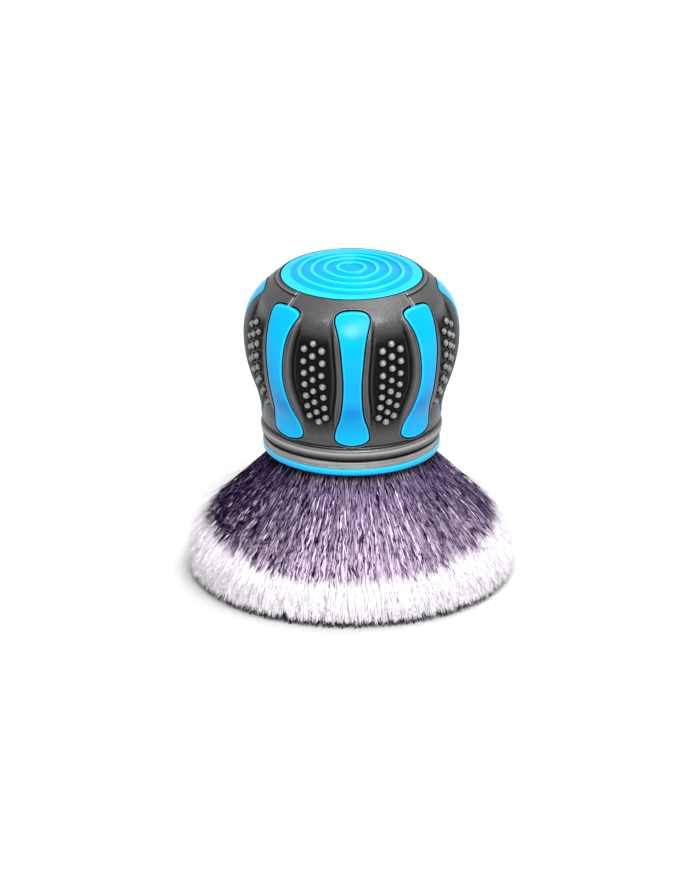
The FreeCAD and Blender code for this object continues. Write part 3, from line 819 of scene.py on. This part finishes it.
def disc_height(radius, angle):
    """Height of the rippled disc above the mouth, with a painted highlight on the crests and
    painted shade in the hollows.
    """
    dome = GRIP_TOP + 2.2 * (1 - (radius / DISC_RADIUS) ** 2)
    wander = 0.16 * np.sin(2 * angle + 0.8) + 0.1 * np.sin(3 * angle + 2.0)
    wander = wander + 0.05 * np.sin(7 * angle)
    at = radius + wander * ease(radius, 1.0, 6.0)
    phase = TAU * (at - DISC_CREST) / DISC_PITCH
    wave = np.cos(phase) + 0.3 * np.cos(2 * phase + 0.6)
    step = 0.35 * ripple((at - DISC_CREST) % DISC_PITCH, 2.75, 0.22)
    dimple = ease(at, 2.4, 3.6)
    wave = np.sign(wave) * np.abs(wave) ** 0.7
    wave = (wave - step) * dimple - 0.75 * (1 - dimple)
    band = ease(at, 17.0, 17.8)
    wave = wave * (1 - band) + 0.75 * band
    height = dome + 0.32 * wave - 0.3
    # Painted highlight on the ripples' crests.
    painted_highlight = np.clip(1.9 * wave - 0.85, 0.0, 0.9)
    # Painted shade in the ripples' hollows and steps.
    painted_shade = np.clip(-0.55 * wave - 0.05 + 1.2 * step * dimple * (1 - band), 0.0, 1.0)
    return height, painted_highlight, painted_shade


def make_disc():
    """The domed palm disc, with a rounded edge and a closed underside."""
    segments = 320
    angles = np.linspace(0, TAU, segments, endpoint=False)
    radii = spread([(0.05, 18.6, 150), (18.6, DISC_RADIUS - DISC_EDGE, 8)])
    r, a = np.meshgrid(radii, angles, indexing="ij")
    height, painted_highlight, painted_shade = disc_height(r, a)
    rows = [(r, height, painted_highlight, painted_shade, np.zeros_like(r))]
    edge = height[-1:]
    flat = np.zeros_like(edge)
    for turn in np.radians([20, 40, 60, 80, 90]):
        out = DISC_RADIUS - DISC_EDGE + DISC_EDGE * math.sin(turn)
        # Painted highlight on the rounded edge.
        rows.append((flat + out, edge - 0.4 * (1 - math.cos(turn)), flat + 0.9, flat, flat))
    # Near-black painted shade on the side below the edge and on the underside.
    rows.append((flat + DISC_RADIUS, edge - 0.5, flat, flat, flat + 1.0))
    rows.append((flat + DISC_RADIUS, edge - 1.3, flat, flat, flat + 1.0))
    rows.append((flat + 0.05, edge - 1.3, flat, flat, flat + 1.0))
    r, height, painted_highlight, painted_shade, gap = (np.concatenate(column) for column in zip(*rows))
    points = round_axis(r, angles, height + MOUTH).reshape(-1, 3)
    faces = grid_faces(len(r), segments, wrap_rows=True, wrap_columns=True)[:, ::-1]
    marks = {"painted_highlight": painted_highlight.ravel(), "painted_shade": painted_shade.ravel(), "gap": gap.ravel()}
    return make_piece("palm_disc", points, faces, BLUE, ["top_cap"], marks)


def make_rings():
    """The rolled collar, the flat band and the blue rim, each with its own soft edges."""
    inner = 22.6
    middle = 0.5 * (BAND_TOP + SEAM)
    collar = rounded([
        (inner, BAND_TOP + 0.1, 0.2), (24.9, BAND_TOP + 0.1, 0.3), (25.1, BAND_TOP + 0.45, 0.15),
        (25.75, BAND_TOP + 1.1, 0.5), (COLLAR_RADIUS, middle + 0.3, 0.9), (25.8, SEAM - 1.05, 0.4),
        (25.15, SEAM - 0.6, 0.12), (25.15, SEAM - 0.45, 0.06), (25.5, SEAM - 0.3, 0.1),
        (25.3, SEAM - 0.05, 0.12), (inner, SEAM - 0.05, 0.2),
    ])
    # Painted shade in the line under the seam and along the collar's foot.
    shade = ripple(collar[:, 1], SEAM - 0.55, 0.14)
    shade = shade + ease(collar[:, 1], BAND_TOP + 1.3, BAND_TOP + 0.2)
    # Painted highlight on the bead.
    light = ripple(collar[:, 1], SEAM - 1.7, 0.7) * ease(collar[:, 0], 25.2, 25.6)
    turned("collar", collar, RUBBER, ["collar_ring"], marks={
        "painted_shade": np.clip(shade, 0, 1), "painted_highlight": 0.8 * np.clip(light, 0, 1)})
    band = rounded([
        (inner, RIM_TOP + 0.05, 0.2), (BAND_RADIUS - 0.05, RIM_TOP + 0.05, 0.12),
        (BAND_RADIUS, BAND_TOP - 0.2, 0.2), (inner, BAND_TOP - 0.2, 0.2),
    ])
    # Painted shade on the band's top, bottom and inner faces.
    turned("band", band, BAND, ["lower_band"], marks={
        "painted_shade": ease(band[:, 0], BAND_RADIUS - 0.12, BAND_RADIUS - 0.3)})
    rim = rounded([
        (21.8, 0.0, 0.2), (RIM_RADIUS - 0.1, 0.0, 0.35),
        (RIM_RADIUS, RIM_TOP - 0.05, 0.2), (21.8, RIM_TOP - 0.05, 0.2),
    ])
    # Painted shade under the rim and on its inner faces; painted highlight along its top edge.
    below = ease(rim[:, 1], 0.5, 0.1)
    turned("rim", rim, BLUE, ["rim_ring"], marks={
        "painted_shade": 0.8 * below, "gap": ease(rim[:, 0], RIM_RADIUS - 0.3, RIM_RADIUS - 0.8),
        "painted_highlight": 0.75 * ease(rim[:, 1], RIM_TOP - 0.6, RIM_TOP - 0.3)})


# ---- Fibres ----

SECTORS = 8
TUFTS_IN_SECTOR = 440
STRANDS_IN_TUFT = 7
STRAND_RINGS = 11            # cross-sections along a strand
LIFT_OUT = 0.66              # the way off the skirt: outwards and up
LIFT_UP = 0.75
LOWEST_STRAND = 1.3          # no strand of the skirt comes nearer to the floor
STRAND_COLUMNS = 256         # columns of the strand map, one for each strand's shade
MOUTH_RADIUS = 20.5          # radius of the skirt at the handle's mouth
TIP_HEIGHT = 2.1             # the rim's lowest tips stay clear of the floor, round the sole
SHOULDER_RADIUS = 43.6       # the corner that the skirt rounds
SHOULDER_HEIGHT = 13.4
CORNER_PULL = 3.2            # how strongly a strand is drawn towards that corner
FREE_LENGTH = 40.0           # a strand's free length, roughly
IN_CUP = 0.16                # length of a strand inside the cup, as a share of its free length
# Where the tips end, from the skirt's top edge (0) to the rim's lowest tips (1).
tip_radius = smooth_line([(0.0, 45.2), (0.2, 46.3), (0.6, 46.4), (1.0, 45.8)])
tip_height = smooth_line([(0.0, 12.2), (0.2, 9.6), (0.6, 5.2), (1.0, TIP_HEIGHT)])


def unit(vectors):
    """Vectors at length 1."""
    return vectors / np.maximum(np.linalg.norm(vectors, axis=-1, keepdims=True), 1e-9)


def strand_piece(name, centre, half_width, column, along, material):
    """Three-sided strands along rows of centre points; along is the length from the mouth."""
    count, rings = centre.shape[:2]
    forward = unit(np.gradient(centre, axis=1))
    turn = np.arctan2(centre[..., 1], centre[..., 0])
    around = np.stack([-np.sin(turn), np.cos(turn), np.zeros_like(turn)], axis=-1)
    out_way = unit(np.cross(around, forward))
    side_way = np.cross(forward, out_way)
    corners = []
    for angle in (TAU / 4, TAU / 4 + TAU / 3, TAU / 4 + 2 * TAU / 3):
        way = math.sin(angle) * out_way + math.cos(angle) * side_way
        corners.append(centre + half_width[..., None] * way)
    points = np.stack(corners, axis=2).reshape(-1, 3)
    start = (np.arange(count) * rings * 3)[:, None, None]
    ring = (np.arange(rings - 1) * 3)[None, :, None]
    corner = np.arange(3)[None, None, :]
    a = start + ring + corner
    b = start + ring + (corner + 1) % 3
    faces = np.stack([a, b, b + 3, a + 3], axis=-1).reshape(-1, 4)
    piece = make_piece(name, points, faces, material, ["bristle_bundle"])
    shape = (count, rings - 1, 3)
    add_strand_map(piece, column[:, None, None], along[:, :-1, None], along[:, 1:, None], shape)
    return piece


def add_strand_map(piece, column, near_start, near_end, shape):
    """The strand map: each face lies in its strand's column, between two lengths from the mouth."""
    middle = (column + 0.5) / STRAND_COLUMNS
    left = middle - 0.35 / STRAND_COLUMNS
    right = middle + 0.35 / STRAND_COLUMNS
    first = np.clip((near_start + ROOT_LENGTH) / FIBRE_SCALE, 0.001, 0.999)
    second = np.clip((near_end + ROOT_LENGTH) / FIBRE_SCALE, 0.001, 0.999)
    corners = [(left, first), (right, first), (right, second), (left, second)]
    spots = []
    for u, v in corners:
        spots.append(np.stack([np.broadcast_to(u, shape), np.broadcast_to(v, shape)], axis=-1))
    layer = piece.data.uv_layers.new(name="OFBake")
    layer.data.foreach_set("uv", np.stack(spots, axis=-2).astype(np.float32).ravel())


def drawn_curve(t, start, corner, end):
    """A curve from start to end that is drawn towards the corner."""
    shares = ((1 - t) ** 2, CORNER_PULL * t * (1 - t), t ** 2)
    return (shares[0] * start + shares[1] * corner + shares[2] * end) / sum(shares)


def make_strands(sector, random):
    """One sector's share of the fibres: tufts of crimped strands that fan out and round the rim."""
    # What the strands of a tuft share.
    tufts = TUFTS_IN_SECTOR
    tuft_angle = (sector + random.random(tufts)) * TAU / SECTORS
    is_outer = random.random(tufts) < 0.5
    tuft_end = np.where(is_outer, random.random(tufts) ** 0.6, random.random(tufts))
    outer_bend = random.uniform(0.75, 1.0, tufts)
    tuft_bend = np.where(is_outer, outer_bend, random.uniform(0.0, 0.6, tufts))
    tuft_lift = random.normal(0, 0.34, tufts) + 0.1
    tuft_reach = random.normal(0, 0.35, tufts)
    tuft_column = np.floor(random.random(tufts) * STRAND_COLUMNS)
    tuft_phase = random.random((tufts, 2)) * TAU

    # Each strand's line from the mouth to the tip, drawn towards the skirt's shoulder by the
    # tuft's bend.
    count = tufts * STRANDS_IN_TUFT
    tuft = np.repeat(np.arange(tufts), STRANDS_IN_TUFT)
    share = np.linspace(0.0, 1.0, STRAND_RINGS)[None, :]
    s = share * (1.0 + IN_CUP) - IN_CUP                # below 0 inside the cup, 1 at the tip
    t = np.clip(s, 0.0, 1.0)
    end = np.clip(tuft_end[tuft] + random.normal(0, 0.05, count), 0, 1)
    end_radius = (tip_radius(end) + tuft_reach[tuft] + random.normal(0, 0.25, count))[:, None]
    end_height = (tip_height(end) + random.normal(0, 0.3, count))[:, None]
    bend = tuft_bend[tuft][:, None]
    start_radius = MOUTH_RADIUS - 0.3 - 5.0 * (1 - bend) * end[:, None]
    start_radius = start_radius - 0.5 * random.random(count)[:, None]
    corner_radius = bend * SHOULDER_RADIUS + (1 - bend) * (0.4 * start_radius + 0.6 * end_radius)
    corner_height = bend * SHOULDER_HEIGHT + (1 - bend) * (0.4 * MOUTH + 0.6 * end_height)
    radius = drawn_curve(t, start_radius, corner_radius, end_radius)
    height = drawn_curve(t, MOUTH, corner_height, end_height)
    steps = np.hypot(np.diff(radius, axis=1), np.diff(height, axis=1))
    along = np.concatenate([np.zeros((count, 1)), np.cumsum(steps, axis=1)], axis=1)
    # Inside the cup it runs on upwards and a little inwards.
    inside = np.minimum(s, 0.0)
    height = height - FREE_LENGTH * inside
    radius = radius + 0.25 * FREE_LENGTH * inside
    along = along + FREE_LENGTH * inside

    # Crimp, a lift off the skirt, and a spread within the tuft, on the free length only.
    free = ease(s, -0.02, 0.25)
    own_lift = tuft_lift[tuft][:, None] * np.sin(t * math.pi * 0.9)
    phase = random.random((count, 2)) * TAU
    wave = random.uniform(3.6, 5.2, count)[:, None]
    crimp = 0.09 * np.sin(TAU * along / wave + phase[:, :1])
    crimp = crimp + 0.17 * np.sin(TAU * along / 6.5 + tuft_phase[tuft, :1])
    bob = 0.09 * np.sin(TAU * along / wave + phase[:, 1:])
    bob = bob + 0.15 * np.sin(TAU * along / 7.7 + tuft_phase[tuft, 1:])
    lift = own_lift + bob * free
    radius = radius + LIFT_OUT * lift
    height = height + LIFT_UP * lift
    spread_out = random.uniform(-0.25, 0.25, count)[:, None] * (0.4 + 0.9 * t - 0.45 * t ** 4)
    sideways = spread_out + (crimp + random.normal(0, 0.4, count)[:, None] * t ** 2) * free
    turn = tuft_angle[tuft][:, None] + sideways / np.maximum(radius, 6.0)
    height = np.maximum(height, LOWEST_STRAND)
    centre = round_axis(radius, turn, height)
    girth = random.uniform(0.10, 0.16, count)[:, None]
    taper = 1.0 - 0.8 * ease(share, 0.78, 1.0)
    column = (tuft_column[tuft] + np.floor(random.random(count) * 1.25)) % STRAND_COLUMNS
    strand_piece(f"fibres_{sector + 1}", centre, girth * taper, column, along, FIBRE)


def make_stray_fibres(random):
    """Long and short fibres that stand clear of the skirt."""
    count = 2800
    rings = 9
    end_radius = 46.3
    end_height = 11.2
    end_length = 38.0                                  # of fibre from the mouth
    turn = random.random(count) * TAU
    share = np.linspace(0.0, 1.0, rings)[None, :]
    is_long = random.random(count) < 0.05
    long_lift = random.uniform(1.0, 5.0, count)
    lift = np.where(is_long, long_lift, np.abs(random.normal(0, 1.1, count)))[:, None]
    reach = random.uniform(0.8, 1.09, count)[:, None]
    lift = lift * share ** 3
    s = share * reach
    radius = MOUTH_RADIUS + (end_radius - MOUTH_RADIUS) * s + LIFT_OUT * lift
    height = MOUTH + (end_height - MOUTH) * s + LIFT_UP * lift
    bend = random.normal(0, 0.03, count)[:, None] * share ** 1.5
    own_turn = turn[:, None] + bend + 0.004 * np.sin(TAU * s * 6 + turn[:, None] * 9)
    centre = round_axis(radius, own_turn, height)
    girth = random.uniform(0.035, 0.06, count)[:, None] * (1.0 - 0.7 * share)
    column = np.floor(random.random(count) * STRAND_COLUMNS)
    strand_piece("stray_fibres", centre, girth, column, end_length * s, STRAY)


def make_sole_fibres(random):
    """The tips that the brush stands on, near black as painted shadow under the skirt."""
    count = 5200
    rings = 4
    sole_radius = 45.1
    end_length = 44.0                                  # of fibre from the mouth
    shown = 9.0
    turn = random.random(count)[:, None] * TAU
    end = sole_radius * np.sqrt(random.random(count))[:, None]
    share = np.linspace(0.0, 1.0, rings)[None, :]
    left = shown * (1 - share)
    radius = end - left * 0.55 * end / 45.0
    height = np.maximum(left * 0.95 + 0.15 + 0.5 * random.random(count)[:, None], 0.1)
    centre = round_axis(radius, turn, height)
    girth = random.uniform(0.25, 0.4, count)[:, None] * (1.0 - 0.7 * share ** 3)
    column = np.floor(random.random(count) * STRAND_COLUMNS)
    strand_piece("sole_fibres", centre, girth, column, end_length - left, SOLE_FIBRE_IN_PAINTED_SHADOW)


def make_fibre_body():
    """The packed fibres behind the strands: a closed, finely ridged skirt, coloured as a darker
    copy of the fibre, painted shade between the strands.
    """
    segments = 720
    edge = np.array([
        (0.3, 46.2), (17.6, 46.0), (18.4, 42.0), (18.8, MOUTH), (31.0, 25.6), (43.4, 11.4),
        (44.6, 8.2), (44.6, 4.8), (44.2, 3.0), (43.0, 2.2), (0.3, 2.0),
    ])
    steps = np.concatenate([[0.0], np.cumsum(np.linalg.norm(np.diff(edge, axis=0), axis=1))])
    lengths = np.linspace(0.0, steps[-1], 110)
    radius = np.interp(lengths, steps, edge[:, 0])
    height = np.interp(lengths, steps, edge[:, 1])
    angles = np.linspace(0, TAU, segments, endpoint=False)
    random = np.random.default_rng(SEEDS["body"])
    ridge = 0.5 * random.random(segments)[None, :] * ease(radius, 18.0, 30.0)[:, None]
    grown = np.maximum(radius[:, None] - ridge, 0.3)
    points = round_axis(grown, angles, height[:, None]).reshape(-1, 3)
    rows = len(lengths)
    faces = grid_faces(rows, segments, wrap_rows=True, wrap_columns=True)
    piece = make_piece("fibre_body", points, faces, FIBRE_IN_PAINTED_SHADE, ["bristle_bundle"])
    # The outline's fourth corner is at the handle's mouth and its eighth low on the rim, past
    # which the skirt takes the near-black painted shadow of the roots.
    along = np.clip(lengths - steps[3], -ROOT_LENGTH, 50.0)
    along = np.where(lengths > steps[7], -ROOT_LENGTH, along)
    column = np.floor(random.random(segments) * STRAND_COLUMNS)
    following = np.roll(along, -1)[:, None]
    add_strand_map(piece, column[None, :], along[:, None], following, (rows, segments))


# ---- Build the brush ----

make_grip_skin()
for station in range(1, STATIONS + 1):
    make_pad(station)
    make_pad_gap(station)
    make_nubs(station)
make_disc()
make_rings()
make_fibre_body()
for sector in range(SECTORS):
    make_strands(sector, np.random.default_rng(SEEDS["strands"] + sector))
make_stray_fibres(np.random.default_rng(SEEDS["strays"]))
make_sole_fibres(np.random.default_rng(SEEDS["sole"]))

INNER_PIECES = {"core_shell": BLUE, "ferrule_cup": BAND, "root_plug": RESIN}
for node, material in INNER_PIECES.items():
    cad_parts[node].data.materials.clear()
    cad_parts[node].data.materials.append(material)

# ---- Floor, light and camera ----


def make_floor():
    """A plain pale floor."""
    size = 40.0
    mesh = bpy.data.meshes.new("floor")
    corners = [(-size, -size, 0), (size, -size, 0), (size, size, 0), (-size, size, 0)]
    mesh.from_pydata(corners, [], [(0, 1, 2, 3)])
    paint = Paint("floor", 0.9, (0.60, 0.60, 0.60))
    mesh.materials.append(paint.material)
    floor = bpy.data.objects.new("floor", mesh)
    bpy.context.scene.collection.objects.link(floor)


def make_sun(name, place, strength, spread_degrees):
    """Even light that comes from a place in metres towards the brush."""
    data = bpy.data.lights.new(name, "SUN")
    data.energy = strength
    data.angle = math.radians(spread_degrees)
    sun = bpy.data.objects.new(name, data)
    sun.location = place
    aim = Vector((0.0, 0.0, MOUTH * MM)) - Vector(place)
    sun.rotation_euler = aim.to_track_quat("-Z", "Y").to_euler()
    bpy.context.scene.collection.objects.link(sun)


def make_world(strength):
    """Even pale surroundings."""
    world = bpy.data.worlds.new("studio")
    bpy.context.scene.world = world
    world.use_nodes = True
    background = world.node_tree.nodes["Background"]
    background.inputs["Color"].default_value = (1.0, 1.0, 1.0, 1.0)
    background.inputs["Strength"].default_value = strength


ELEVATION = math.radians(21.8)
DISTANCE = 3.6
VIEW_HEIGHT = 0.2506           # height of the picture at the brush's axis
AIM = Vector((-0.00043, 0.0, (MOUTH + 1.7) * MM))


def make_camera():
    """A long lens, looking down at the front."""
    data = bpy.data.cameras.new("camera")
    data.sensor_fit = "VERTICAL"
    data.sensor_height = 24.0
    data.lens = data.sensor_height * DISTANCE / VIEW_HEIGHT
    camera = bpy.data.objects.new("camera", data)
    back = Vector((0.0, -math.cos(ELEVATION), math.sin(ELEVATION)))
    camera.location = AIM + back * DISTANCE
    camera.rotation_euler = (-back).to_track_quat("-Z", "Y").to_euler()
    data.clip_end = 100.0
    bpy.context.scene.collection.objects.link(camera)
    bpy.context.scene.camera = camera


make_floor()
make_sun("key", (0.4, 0.28, 1.1), 1.2, 24.0)
make_sun("front", (-0.05, -1.0, 1.15), 2.9, 24.0)
make_sun("right", (0.45, -0.9, 1.3), 2.0, 32.0)
make_world(0.5)
make_camera()
bpy.context.scene.view_settings.view_transform = "Standard"
